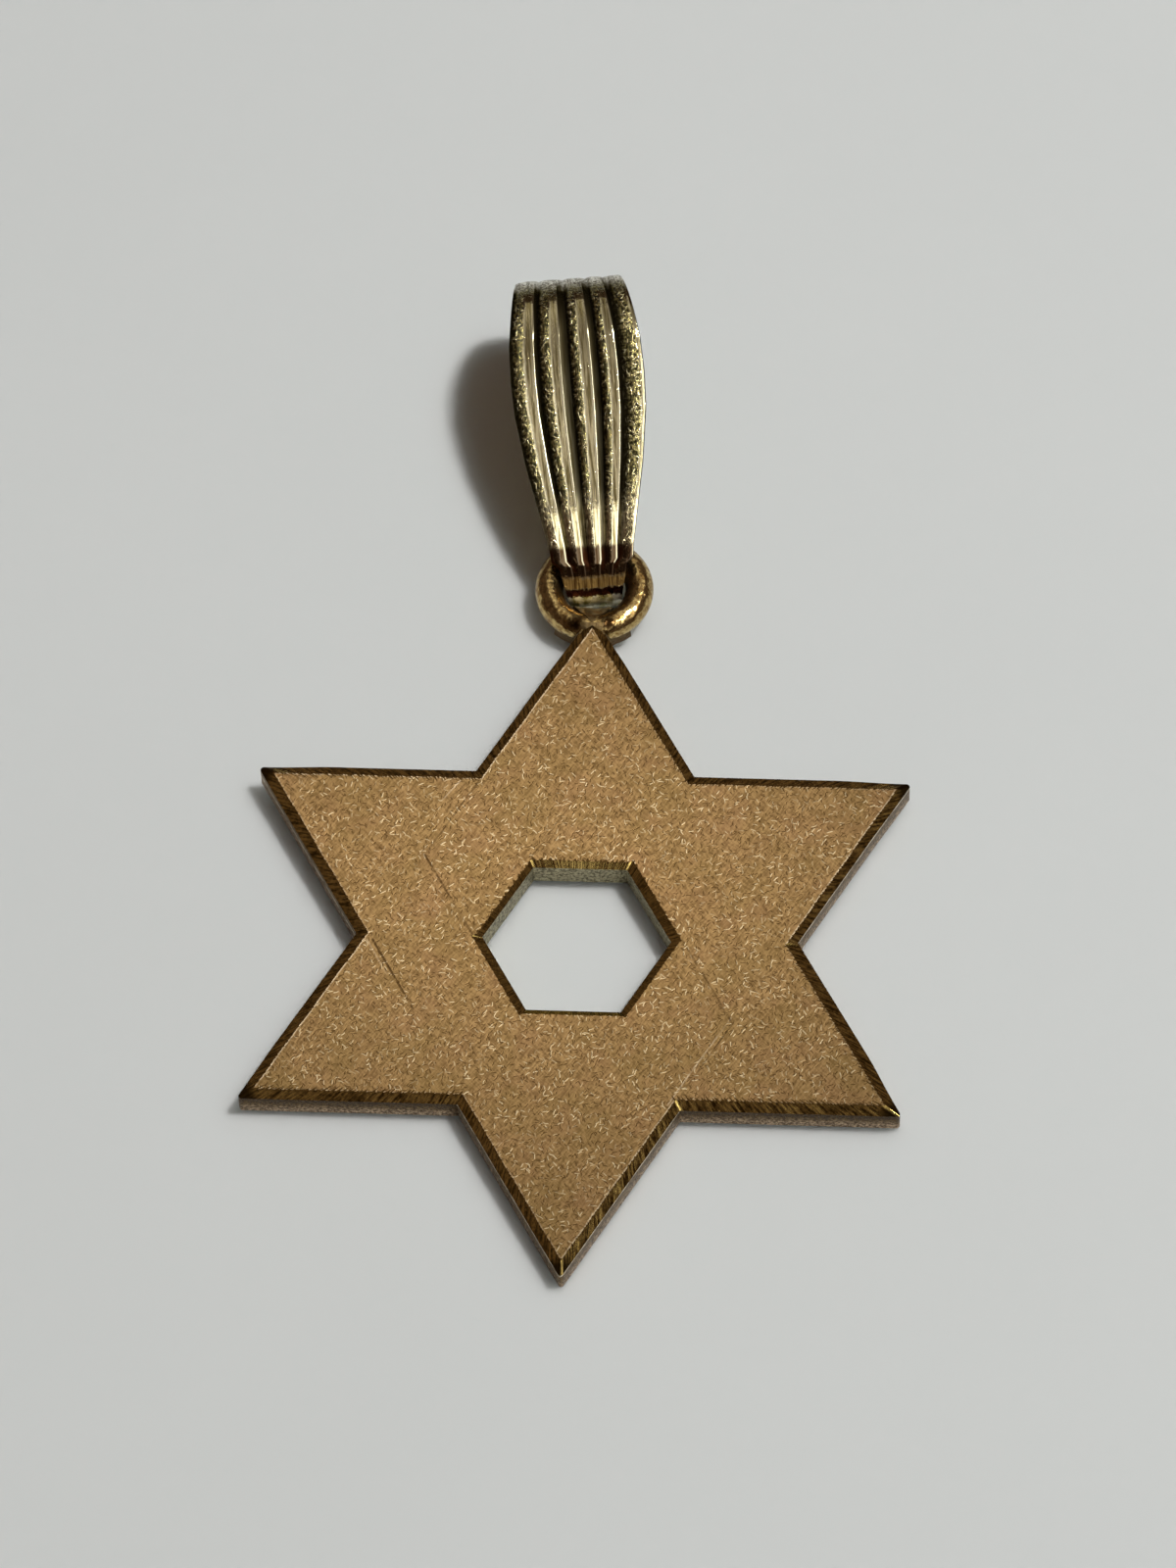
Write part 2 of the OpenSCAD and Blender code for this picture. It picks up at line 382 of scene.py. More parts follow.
def ring_points(across, round_wire):
    """Torus: round the ring's centre at the middle radius, and round the wire about that circle."""
    u = np.linspace(0, 2 * np.pi, across, endpoint=False)[:, None]
    v = np.linspace(0, 2 * np.pi, round_wire, endpoint=False)[None, :]
    reach = ring_mid_r + ring_wire_r * np.cos(v)
    return laid_down(reach * np.cos(u), ring_y + reach * np.sin(u), ring_z + ring_wire_r * np.sin(v) + 0 * u)


RING_ROUND = 200
WIRE_ROUND = 72
ring_xyz = ring_points(RING_ROUND, WIRE_ROUND).reshape(-1, 3)
ring_quads = closed_loops(RING_ROUND, WIRE_ROUND, len(plate_points))

# The solder: it fills the corners between the point's sides and the wire with a hollow fillet, and
# lies as a thin skin over the wire's crest where the point meets it.
solder_high = 0.95
solder_spread = 0.5
solder_skin = 0.018
solder_floor = 0.06
solder_under = 0.02
solder_middle_y = 13.55
skin_low_y = 13.15
skin_high_y = 14.12
skin_full = 1.6
flare_low_w = 0.33
flare_low_y = 13.2
flare_widening = 0.36
pool_start = 0.33
pool_reach = 0.67
pool_side = 0.86
pool_high = 0.96
pool_waver = 0.02
SOLDER_STEPS = 90
SOLDER_TURNS = 361
SOLDER_REACHES = np.linspace(0.02, 1.5, 300)[:, None]


def solder_heights(x, y):
    """Height of the solder: a fillet whose radius is the sum of the two ways out from the plate and
    from the wire and the root of twice their product, lower as that radius grows; and over the wire
    its own round top and the skin, which ends at the sides of the flare; and inside the ring a pool
    that falls from the wire as a quarter of an ellipse."""
    off_plate = np.maximum.reduce([x * math.cos(math.radians(t)) + y * math.sin(math.radians(t)) - side_r
                                   for t in (30, 150)])
    way = np.hypot(x, y - ring_y)
    off_wire = np.maximum(np.abs(way - ring_mid_r) - ring_wire_r, 0)
    off_plate = np.maximum(off_plate, 0)
    radius = off_plate + off_wire + np.sqrt(2 * off_plate * off_wire)
    fillet = np.where(way > ring_hole_r, solder_high * (1 - radius / solder_spread), -1)
    over = np.sqrt(np.maximum(ring_wire_r ** 2 - (way - ring_mid_r) ** 2, 0))
    flare = flare_low_w + flare_widening * (y - flare_low_y)
    skin = solder_skin * np.clip(skin_full * (1 - (np.abs(x) / flare) ** 2), -2, 1)
    skin = np.where((y > skin_low_y) & (y < skin_high_y), skin, -0.2)
    cover = np.where(off_wire > 0, -1, ring_z + over + skin)
    inward = pool_reach * np.sqrt(np.clip(1 - (x / pool_side) ** 2, 1e-6, 1))
    past = ring_mid_r - pool_start - way
    pool = pool_high * np.sqrt(np.clip(1 - (past / inward) ** 2, 0, 1)) + pool_waver * np.sin(9 * x + 5 * y)
    pool = np.where((past > 0) & (past < inward) & (y < ring_y), pool, -1)
    return np.maximum.reduce([fillet, cover, pool])


def solder_patch(steps):
    """A square grid pulled round to a disc, each side value times the root of 1 less half the other's
    square, and stretched in every direction up to where the solder runs out."""
    u, v = np.meshgrid(np.linspace(-1, 1, steps), np.linspace(-1, 1, steps), indexing="ij")
    x, y = u * np.sqrt(1 - v * v / 2), v * np.sqrt(1 - u * u / 2)
    turns = np.linspace(-np.pi, np.pi, SOLDER_TURNS)
    tried_x = SOLDER_REACHES * np.cos(turns)
    tried_y = solder_middle_y + SOLDER_REACHES * np.sin(turns)
    empty = solder_heights(tried_x, tried_y) < solder_floor
    out = np.interp(np.arctan2(y, x), turns, SOLDER_REACHES[np.argmax(empty, axis=0), 0])
    x, y = x * out, solder_middle_y + y * out
    return x, y, np.maximum(solder_heights(x, y), solder_floor)


solder_x, solder_y, solder_top = solder_patch(SOLDER_STEPS)
solder_bottom = np.full_like(solder_top, solder_floor - solder_under)
solder_xyz = np.concatenate([laid_down(solder_x, solder_y, height).reshape(-1, 3)
                             for height in (solder_top, solder_bottom)])
cell = np.arange(SOLDER_STEPS - 1)
gi, gj = np.meshgrid(cell, cell, indexing="ij")
low_corner = (gi * SOLDER_STEPS + gj).ravel()
sheet_quads = low_corner[:, None] + np.array([0, SOLDER_STEPS, SOLDER_STEPS + 1, 1])
count = SOLDER_STEPS ** 2
last = SOLDER_STEPS - 1
border = np.concatenate([cell * SOLDER_STEPS, last * SOLDER_STEPS + cell,
                         (cell[::-1] + 1) * SOLDER_STEPS + last, cell[::-1] + 1])
border_next = np.roll(border, -1)
skirt = np.stack([border, border + count, border_next + count, border_next], -1)
solder_quads = np.concatenate([sheet_quads, sheet_quads[:, ::-1] + count, skirt])
solder_quads += len(plate_points) + len(ring_xyz)


def build_mesh(name, points, quads, finishes, materials, flat_angle):
    """A mesh object from whole arrays of points and quads, smooth except along edges sharper than
    flat_angle degrees, with its materials in the order of the finishes."""
    mesh = bpy.data.meshes.new(name)
    mesh.vertices.add(len(points))
    mesh.vertices.foreach_set("co", points.astype(np.float32).ravel())
    mesh.loops.add(quads.size)
    mesh.loops.foreach_set("vertex_index", quads.astype(np.int32).ravel())
    mesh.polygons.add(len(quads))
    mesh.polygons.foreach_set("loop_start", np.arange(0, quads.size, 4, dtype=np.int32))
    mesh.update(calc_edges=True)
    for material in materials:
        mesh.materials.append(material)
    mesh.polygons.foreach_set("material_index", finishes.astype(np.int32))
    mesh.polygons.foreach_set("use_smooth", np.ones(len(quads), dtype=bool))
    mesh.set_sharp_from_angle(angle=math.radians(flat_angle))
    mesh.validate()
    made = bpy.data.objects.new(name, mesh)
    bpy.context.scene.collection.objects.link(made)
    return made


def add_uv(mesh, name, first, second):
    """A UV map from two values for every corner of the mesh's first quads, and 0 for the corners after."""
    pairs = np.zeros((len(mesh.loops), 2), dtype=np.float32)
    pairs[:first.size] = np.stack([first.ravel(), second.ravel()], -1)
    mesh.uv_layers.new(name=name).data.foreach_set("uv", pairs.ravel())


def linear(tree, value, factor, base):
    """The value times factor, and base more."""
    return calc(tree, "MULTIPLY_ADD", value, factor, base)


def product(tree, first, *others):
    """All the values multiplied together."""
    for value in others:
        first = calc(tree, "MULTIPLY", first, value)
    return first


def largest(tree, first, *others):
    """The largest of several values."""
    for value in others:
        first = calc(tree, "MAXIMUM", first, value)
    return first


def between(tree, share, first, second):
    """The first number turning evenly into the second by share."""
    return add(tree, "Mix", {0: share, 2: first, 3: second}).outputs[0]


def layered(tree, colour, layers):
    """A colour with others laid over it in turn. A layer gives its mask, how much it covers, its colour."""
    for mask, cover, over in layers:
        colour = tint(tree, product(tree, mask, cover), colour, over)
    return colour


def vector(tree, operation, *values):
    """One step of arithmetic on vectors."""
    outputs = add(tree, "VectorMath", dict(enumerate(values)), operation=operation).outputs
    return outputs["Value" if operation == "LENGTH" else "Vector"]


def shaded(tree, grains, start, end, shades):
    """A pair of shades, the first turning into the second as the grain goes from start to end."""
    return tint(tree, fade(tree, grains, start, end), *shades)


def parts_of(tree, whole):
    """The three parts of a vector."""
    return add(tree, "SeparateXYZ", {0: whole}).outputs


def uv_place(tree, name):
    """The piece's own UV map of that name."""
    return add(tree, "UVMap", {}, uv_map=name).outputs[0]


def marks_of(tree, name):
    """The three values that the mesh keeps at its points under that name."""
    return parts_of(tree, add(tree, "Attribute", {}, attribute_name=name).outputs[1])


def along_edge(tree, length, scale, detail):
    """Soft random values that change only along an edge, scale lumps to a millimetre."""
    return grain(tree, add(tree, "CombineXYZ", {0: length}).outputs[0], scale, detail)


def shifted(tree, place, x, y):
    """The same place, moved to another part of a pattern."""
    return vector(tree, "ADD", place, (x, y, 0))


def metal_finish(tree, surface, colour, roughness, relief, strength, depth):
    """Wires up a metal's colour and roughness, and a relief that rises by depth, in metres."""
    surface.inputs["Metallic"].default_value = 1
    tree.links.new(colour, surface.inputs["Base Color"])
    tree.links.new(roughness, surface.inputs["Roughness"])
    tree.links.new(add(tree, "Bump", {"Height": relief, "Strength": strength, "Distance": depth}).outputs[0],
                   surface.inputs["Normal"])


def fleck_layer(tree, place, scale, length, width, bow, share):
    """Short bowed scratches, one to a Voronoi cell: the way from the cell's own point is turned by a
    random angle, bent by the square of the way along, and kept where it is short and thin."""
    cells = add(tree, "TexVoronoi", {"Vector": place, "Scale": scale}, voronoi_dimensions="2D")
    chance = add(tree, "SeparateColor", {0: cells.outputs["Color"]}).outputs
    way = vector(tree, "SUBTRACT", place, cells.outputs["Position"])
    turn = product(tree, chance[0], 2 * math.pi)
    turned = add(tree, "VectorRotate", {"Vector": way, "Angle": turn}, rotation_type="Z_AXIS").outputs[0]
    parts = parts_of(tree, turned)
    bent_by = product(tree, calc(tree, "SUBTRACT", chance[1], 0.5), bow)
    off = calc(tree, "ABSOLUTE", calc(tree, "SUBTRACT", parts[1], product(tree, parts[0], parts[0], bent_by)))
    return product(tree, fade(tree, calc(tree, "ABSOLUTE", parts[0]), length, 0.5 * length),
                   fade(tree, off, width, 0.2 * width), calc(tree, "LESS_THAN", chance[2], share))


def flecks(tree, place, layers):
    """Several layers of scratches, each moved to its own part of the pattern. A layer gives its shift
    along x and y, its cells to a millimetre, a scratch's length, width and bow, and the share kept."""
    return largest(tree, *[fleck_layer(tree, shifted(tree, place, x, y), *size) for x, y, *size in layers])


LINE_PAST = 0.1
LINE_WITHIN = 0.05


def worn_line(tree, parts, line, width):
    """A thin straight line in the face. line gives its two ends in millimetres from the star's centre
    and how much of it is left at each. The strength goes evenly from the one to the other, and it
    fades out from within the line to past it."""
    start = Vector(line[0:2])
    along = (Vector(line[2:4]) - start).normalized()
    length = (Vector(line[2:4]) - start).length
    ahead = calc(tree, "ADD", product(tree, parts[0], along.x),
                 linear(tree, parts[1], along.y, -along.dot(start)))
    side = calc(tree, "ADD", product(tree, parts[0], -along.y),
                linear(tree, parts[1], along.x, along.y * start.x - along.x * start.y))
    thin = fade(tree, calc(tree, "ABSOLUTE", side), width, 0.3 * width)
    left = add(tree, "MapRange", {0: ahead, 1: 0.0, 2: length, 3: line[4], 4: line[5]}).outputs[0]
    return product(tree, thin, left, fade(tree, ahead, -LINE_PAST, LINE_WITHIN),
                   fade(tree, ahead, length + LINE_PAST, length - LINE_WITHIN))


def worn_lines(tree, parts, lines, width):
    """Several of them together."""
    return largest(tree, *[worn_line(tree, parts, line, width) for line in lines])


# Once the two triangles were engraved as if woven through each other. What is left of those lines,
# from the notches to the window's corners, and of the borders that the graver threw up, painted bright
# as a highlight.
woven_lines = [
    # start x and y, end x and y, left at the start, left at the end
    (7.50, 0.20, 5.85, 3.24, 0.50, 0.25),
    (0.12, 6.69, -1.80, 3.40, 0.20, 0.45),
    (-3.95, 6.50, -5.75, 3.35, 0.75, 0.25),
    (-5.80, 3.40, -3.85, 0.02, 0.90, 0.60),
    (-7.50, -0.30, -5.88, -3.15, 1.00, 0.80),
    (-0.30, -6.70, 1.65, -3.30, 0.25, 0.40),
    (4.00, -6.55, 5.80, -3.45, 0.20, 0.85),
    (5.80, -3.40, 3.90, -0.05, 0.80, 0.60),
]
bright_lines = [
    (-4.60, 6.52, -5.20, 5.70, 1.00, 0.60),
    (5.78, -3.20, 4.36, -5.56, 0.50, 0.80),
    (4.36, -5.56, 3.60, -6.90, 0.80, 0.60),
    (-7.68, -0.35, -6.90, -1.75, 0.60, 0.20),
]

# The frosted face: tan gold, cloudy with olive and pink, rubbed with fine short streaks both ways, with
# bright specks in clusters, and teeth and burrs where it meets the bright cuts. The teeth are painted dark,
# a painted reflection of the dark room, and the burrs are painted bright, a painted highlight.
face_gold = ((0.245, 0.146, 0.055), (0.500, 0.322, 0.138))
cloud_olive = (0.285, 0.190, 0.062)
cloud_pink = (0.385, 0.217, 0.104)
fleck_dark = (0.135, 0.072, 0.022)
speck_bright = (0.86, 0.70, 0.43)
burr_highlight = (0.80, 0.64, 0.42)
engraved_dark = (0.09, 0.045, 0.012)
teeth_painted_dark = (0.10, 0.055, 0.016)
engraved_w = 0.06
thrown_up_w = 0.045
streak_bend = 0.12
bright_specks = [
    # shift x and y, cells to a millimetre, length, width, bow, share kept
    (0, 0, 2.6, 0.14, 0.032, 4.0, 0.5),
    (7.3, 2.1, 3.6, 0.11, 0.028, 7.0, 0.5),
]
dark_specks = [
    (1.9, 5.2, 3.1, 0.11, 0.032, 5.0, 0.7),
    (8.1, 3.3, 4.2, 0.09, 0.028, 6.0, 0.7),
]
face_material, tree, surface = new_material("frosted_face")
place = millimetres(tree, (0, centre_y, plate_t))
place_parts = parts_of(tree, place)
waver = add(tree, "TexNoise", {"Vector": place, "Scale": 2.5}).outputs[1]
bent = vector(tree, "ADD", place, vector(tree, "MULTIPLY", waver, (streak_bend,) * 3))


def streaks(tree, place, lean, along, across):
    """Noise drawn out in the direction lean, in degrees: along lumps a millimetre that way, across the
    other way."""
    turned = add(tree, "Mapping", {"Vector": place, "Rotation": (0, 0, math.radians(lean)),
                                   "Scale": (1 / along, 1 / across, 1)}, vector_type="TEXTURE").outputs[0]
    return grain(tree, turned, 1.0, 2.0, 0.55)


def bite_marks(tree, edge, scale, teeth, reach):
    """Where the graver's teeth bit into the face: nearer to the cut than a reach that comes and goes
    along the edge, scale times a millimetre, up to the edge's own teeth times reach."""
    wave = fade(tree, along_edge(tree, edge[0], scale, 1.0), 0.42, 0.68)
    return calc(tree, "LESS_THAN", edge[1], product(tree, wave, product(tree, teeth, reach)))


rubbed = between(tree, 0.45, streaks(tree, bent, 56, 3.2, 13.0),
                 streaks(tree, shifted(tree, bent, 4, 9), -48, 3.4, 13.5))
cluster = fade(tree, grain(tree, place, 0.9, 2.0), 0.34, 0.62, 0.30, 1.0)
specks = product(tree, flecks(tree, bent, bright_specks), cluster)
dark_flecks = flecks(tree, bent, dark_specks)
worn = fade(tree, grain(tree, place, 2.6, 2.0), 0.36, 0.56, 0.35, 1.0)
engraved = product(tree, worn_lines(tree, place_parts, woven_lines, engraved_w), worn)
thrown_up = product(tree, worn_lines(tree, place_parts, bright_lines, thrown_up_w), worn)
edge_parts = parts_of(tree, uv_place(tree, "edge_place"))
window_parts = parts_of(tree, uv_place(tree, "window_place"))
marks = marks_of(tree, "edge_marks")
bitten = largest(tree, bite_marks(tree, edge_parts, 9.0, marks[0], 0.16),
                 bite_marks(tree, window_parts, 7.0, marks[2], 0.14))
burr = product(tree, fade(tree, edge_parts[1], 0.07, 0.03), marks[1],
               fade(tree, along_edge(tree, edge_parts[0], 2.2, 3.0), 0.3, 0.55))
colour = layered(tree, shaded(tree, rubbed, 0.36, 0.64, face_gold), [
    (fade(tree, grain(tree, place, 0.5, 3.0), 0.35, 0.68), 0.35, cloud_olive),
    (fade(tree, grain(tree, shifted(tree, place, 31, 17), 0.8, 3.0), 0.45, 0.72), 0.35, cloud_pink),
    (dark_flecks, 0.75, fleck_dark),
    (specks, 0.9, speck_bright),
    # Burrs and thrown-up borders are painted bright, a painted highlight.
    (largest(tree, burr, product(tree, thrown_up, 0.7)), 1.0, burr_highlight),
    (engraved, 0.85, engraved_dark),
    # The graver's teeth are painted dark, a painted reflection of the dark room like the cuts'.
    (bitten, 1.0, teeth_painted_dark),
])
# The face's colour is made darker towards the points, most at the right, and is brightest
# a little above its centre.
brightest_y = 3.5
face_falloff = product(tree, fade(tree, place_parts[1], -star_radius - 1, brightest_y, 0.58, 1.0),
                fade(tree, place_parts[1], brightest_y, star_radius, 1.0, 0.83))
to_sides = linear(tree, product(tree, place_parts[0], place_parts[0]), -0.0014, 1.0)
face_falloff = product(tree, face_falloff, linear(tree, place_parts[0], -0.0095, to_sides))
relief = calc(tree, "ADD", product(tree, rubbed, 0.6), product(tree, specks, 0.4))
relief = calc(tree, "SUBTRACT", relief, product(tree, largest(tree, bitten, dark_flecks, engraved), 0.6))
metal_finish(tree, surface, vector(tree, "MULTIPLY", colour, face_falloff),
             fade(tree, largest(tree, bitten, engraved), 0.0, 1.0, 0.6, 0.35), relief, 0.5, 0.00002)

# The bright cuts: mirror gold, dark where it faces the dark room, with the graver's fine chatter
# across them and some dirt. Out at the points they are painted dark, a painted shade over their glints.
cut_gold = ((0.12, 0.078, 0.016), (0.82, 0.61, 0.20))
tip_painted_shade = (0.05, 0.034, 0.010)
cut_material, tree, surface = new_material("bright_cut")
stretched = add(tree, "Mapping", {"Vector": uv_place(tree, "edge_place"), "Scale": (9, 1.5, 1)}).outputs[0]
chatter = grain(tree, stretched, 1.0, 3.0, 0.6)
dirt = between(tree, 0.65, grain(tree, millimetres(tree), 9.0, 4.0, 0.66), chatter)
from_centre = vector(tree, "LENGTH", millimetres(tree, (0, centre_y, 0)))
# Painted shade darkens the cuts out at the points.
colour = tint(tree, fade(tree, from_centre, star_radius - 0.8, star_radius - 0.4, 0.0, 0.9),
              shaded(tree, dirt, 0.38, 0.62, cut_gold), tip_painted_shade)
metal_finish(tree, surface, colour, fade(tree, chatter, 0.3, 0.7, 0.07, 0.17),
             linear(tree, dirt, 0.4, chatter), 0.3, 0.000012)

# The sawn walls and the back: grainy, a little pinker. Painted shade darkens the wall's top under the cut,
# a painted reflection of the lit table makes it pale low down and in the window, and a thin painted
# highlight runs under the cut on some sides.
wall_gold = ((0.065, 0.036, 0.012), (0.235, 0.150, 0.058))
low_wall_reflection = ((0.125, 0.082, 0.045), (0.66, 0.49, 0.33))
window_wall_reflection = ((0.085, 0.070, 0.032), (0.44, 0.39, 0.24))
wall_top_painted_shade = (0.030, 0.015, 0.005)
wall_highlight_line = (1.0, 0.88, 0.70)
wall_material, tree, surface = new_material("sawn_wall")
edge_uv = uv_place(tree, "edge_place")
edge_parts = parts_of(tree, edge_uv)
line_marks = marks_of(tree, "wall_marks")
off_line = calc(tree, "ABSOLUTE", calc(tree, "SUBTRACT", edge_parts[1], line_marks[1]))
line = product(tree, fade(tree, off_line, 0.055, 0.02), line_marks[0],
               fade(tree, along_edge(tree, edge_parts[0], 1.6, 3.0), 0.3, 0.6))
saw = grain(tree, add(tree, "Mapping", {"Vector": edge_uv, "Scale": (14, 4, 1)}).outputs[0], 1.0, 4.0, 0.65)
pits = grain(tree, millimetres(tree), 9.0, 4.0, 0.65)
in_window = calc(tree, "GREATER_THAN", edge_parts[1], 0.0)
below_top = calc(tree, "SUBTRACT", line_marks[2], edge_parts[1])
# Painted shade along the top of the wall, on the sides without a highlight line.
wall_top_shade = product(tree, fade(tree, below_top, 0.60, 0.0, 0.0, 0.80), fade(tree, line_marks[0], 0.5, 0.0),
               calc(tree, "SUBTRACT", 1.0, in_window))
colour = layered(tree, shaded(tree, pits, 0.36, 0.66, wall_gold), [
    # Low down the wall is painted pale, a painted reflection of the lit table.
    (fade(tree, edge_parts[1], -0.75, -1.35), 1.0, shaded(tree, pits, 0.40, 0.66, low_wall_reflection)),
    # In the window the walls are painted pale, a painted reflection of the lit table.
    (in_window, 1.0, shaded(tree, pits, 0.36, 0.62, window_wall_reflection)),
    (wall_top_shade, 1.0, wall_top_painted_shade),
    # A thin painted highlight along the wall under the cut.
    (line, 1.0, wall_highlight_line),
])
metal_finish(tree, surface, colour, fade(tree, saw, 0.3, 0.7, 0.24, 0.5),
             calc(tree, "ADD", saw, pits), 0.6, 0.00003)

# The ring: polished wire, brown gold and mottled with wear, with painted shade on its inner side.
# The solder ran up over the wire at the star's tip as a greyer frosted patch, and painted shade darkens
# the corners beside it.
wire_gold = ((0.23, 0.135, 0.042), (0.60, 0.45, 0.19))
inner_painted_shade = (0.040, 0.020, 0.009)
patch_gold = ((0.11, 0.088, 0.038), (0.36, 0.30, 0.17))
corner_painted_shade = (0.035, 0.018, 0.006)
ring_material, tree, surface = new_material("polished_wire")
place = millimetres(tree, (0, centre_y + star_radius, plate_t))
buff = grain(tree, place, 1.9, 2.0)
scuffs = grain(tree, place, 8.0, 4.0, 0.65)


def ragged_way(tree, place, spot, ragged):
    """How far a place is from a spot, in millimetres, and ragged times the ring's scuffs more."""
    return linear(tree, scuffs, ragged, vector(tree, "LENGTH", vector(tree, "SUBTRACT", place, spot)))


mottled = between(tree, 0.5, scuffs, grain(tree, place, 3.4, 3.0, 0.6))
ring_place = parts_of(tree, millimetres(tree, (0, centre_y + ring_y, 0)))
across_ring = add(tree, "CombineXYZ", {0: ring_place[0], 1: ring_place[1]}).outputs[0]
inner_side = fade(tree, ragged_way(tree, across_ring, (0, 0, 0), 0.2), ring_mid_r, ring_mid_r - 0.2)
flattened = vector(tree, "MULTIPLY", place, (0.72, 1, 1))
flooded = fade(tree, ragged_way(tree, flattened, (0, 0.10, -0.30), 0.34), 0.92, 0.66)
mirrored = vector(tree, "ABSOLUTE", place)
corner_shade = fade(tree, ragged_way(tree, mirrored, (0.60, 0.42, 0.30), 0.2), 0.50, 0.26)
colour = layered(tree, shaded(tree, mottled, 0.40, 0.60, wire_gold), [
    # Painted shade on the ring's inner side.
    (inner_side, 0.85, inner_painted_shade),
    (flooded, 1.0, shaded(tree, scuffs, 0.38, 0.62, patch_gold)),
    # Painted shade in the corners between the wire and the point.
    (corner_shade, 1.0, corner_painted_shade),
])
roughness = largest(tree, fade(tree, mottled, 0.35, 0.65, 0.28, 0.15), product(tree, flooded, 0.42),
                    product(tree, inner_side, 0.4))
metal_finish(tree, surface, colour, roughness, linear(tree, scuffs, 0.10, buff), 0.6, 0.00015)

# The solder: frosted grey gold over the wire and in the ring, with painted shade, dark brown, in the corners.
solder_gold = ((0.10, 0.080, 0.034), (0.31, 0.26, 0.145))
solder_corner_shade = (0.11, 0.066, 0.024)
solder_material, tree, surface = new_material("scraped_solder")
place = millimetres(tree, (0, centre_y + star_radius, 0))
place_parts = parts_of(tree, place)
scrape = grain(tree, place, 6.0, 4.0, 0.65)
low_down = fade(tree, place_parts[2], 0.95, 0.65)
beside = fade(tree, place_parts[1], 0.32, 0.02)
# Painted shade, dark brown, in the corners below the point's tip.
colour = tint(tree, product(tree, largest(tree, low_down, 0.8), beside),
              shaded(tree, scrape, 0.38, 0.62, solder_gold), solder_corner_shade)
metal_finish(tree, surface, colour, fade(tree, scrape, 0.3, 0.7, 0.42, 0.6), scrape, 0.6, 0.00006)

soldered_points = np.concatenate([plate_points, ring_xyz, solder_xyz])
soldered_quads = np.concatenate([plate_quads, ring_quads, solder_quads])
soldered_finish = np.concatenate([plate_finish, np.full(len(ring_quads), RING),
                                  np.full(len(solder_quads), SOLDER)])
SHARP_STAR_EDGE = 16
soldered_star = build_mesh("soldered_star", soldered_points, soldered_quads, soldered_finish,
                           [face_material, cut_material, wall_material, ring_material, solder_material],
                           SHARP_STAR_EDGE)


def unwrapped(places, count):
    """The corners' rows or columns, but count in place of 0 in the quads that close the loop."""
    closes = places.max(1, keepdims=True) == count - 1
    return np.where(closes & (places == 0), count, places)


# Each corner's place along the two edges, and down from their borders.
rows, columns = plate_r.shape
corner_i, corner_j = np.divmod(plate_quads, columns)
column = unwrapped(corner_j, columns)
add_uv(soldered_star.data, "edge_place", run_out[column], rim[corner_i, corner_j])
add_uv(soldered_star.data, "window_place", run_in[column], window_rim[corner_i, corner_j])


def keep_marks(name, *values):
    """Keeps three values for every angle round the plate at all of its points, and 0 at the others."""
    marks = np.zeros((len(soldered_points), 3))
    marks[:len(plate_points)] = np.tile(np.stack(values, -1), (rows, 1))
    soldered_star.data.attributes.new(name, "FLOAT_VECTOR", "POINT").data.foreach_set(
        "vector", marks.astype(np.float32).ravel())


wall_top = -side_table[side_of, CUT_SHARE] * (edge_cut_w + edge_cut_d)
keep_marks("edge_marks", side_table[side_of, TEETH], side_table[side_of, BURR],
           window_table[window_side_of, WINDOW_TEETH])
keep_marks("wall_marks", side_table[side_of, WALL_LINE], wall_top - side_table[side_of, LINE_DOWN], wall_top)
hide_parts("star_with_ring")
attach(soldered_star, "root")

# Bail
# One strip of pale gold rolled with five ribs, wide in front, folded back for the chain. Its two
# tapered ends close inside the ring, so it hangs in the ring and swings freely.
strip_t = 0.42
bail_w = 5.05
bail_lean = math.radians(7)
rib_depth = 0.17
ring_side_gap = 0.235
bail_end_w = 2 * (ring_hole_r - ring_side_gap)
# Finer arcs than the CAD's would stand a little proud of it, so the whole strip is this much smaller.
strip_under_cad = 0.019
# The circles that the strip goes round, seen from its side: y and z of the centre, and the radius, in
# millimetres from the ring's centre and from the table.
toe = np.array([0.12, 0.60, 0.60])
fold = np.array([9.35, 2.90, 2.90])
shoulder = np.array([0.67, 1.85, 0.65])
RIBS = 5
valleys = np.array([0, 0.216, 0.445, 0.659, 0.829, 1])
# Places along the strip run from 0 at the toe over the fold from 1 to 2 and the shoulder at 3 back to 4
# at the toe. At each: the shares of the full width, of the ends' width and of the ribs' full height.
strip_places = [0, 0.2, 1, 1.46, 1.63, 1.78, 1.89, 2.01, 2.17, 2.33, 2.57, 2.94, 3.1, 3.4, 3.6, 4]
strip_main = [0, 0.02, 0.59, 0.69, 0.78, 0.86, 0.92, 0.98, 1, 0.98, 0.87, 0.63, 0.57, 0.10, 0.03, 0]
strip_end = [1, 1, 0, 0, 0, 0, 0, 0, 0, 0, 0, 0, 0, 1, 1, 1]
strip_ribs = [0, 0.4, 1, 0.6, 0.5, 0.85, 1, 1, 1, 1, 1, 1, 0.85, 0.15, 0, 0]


def tangent_turn(first, second):
    """Outward direction of the straight run that touches two circles: the direction between their
    centres less the angle whose cosine is the difference of the radii over the distance."""
    dy, dz = second[:2] - first[:2]
    return math.atan2(dz, dy) - math.acos((first[2] - second[2]) / math.hypot(dy, dz))


under_turn = tangent_turn(toe, fold)
front_turn = tangent_turn(fold, shoulder) % (2 * math.pi)

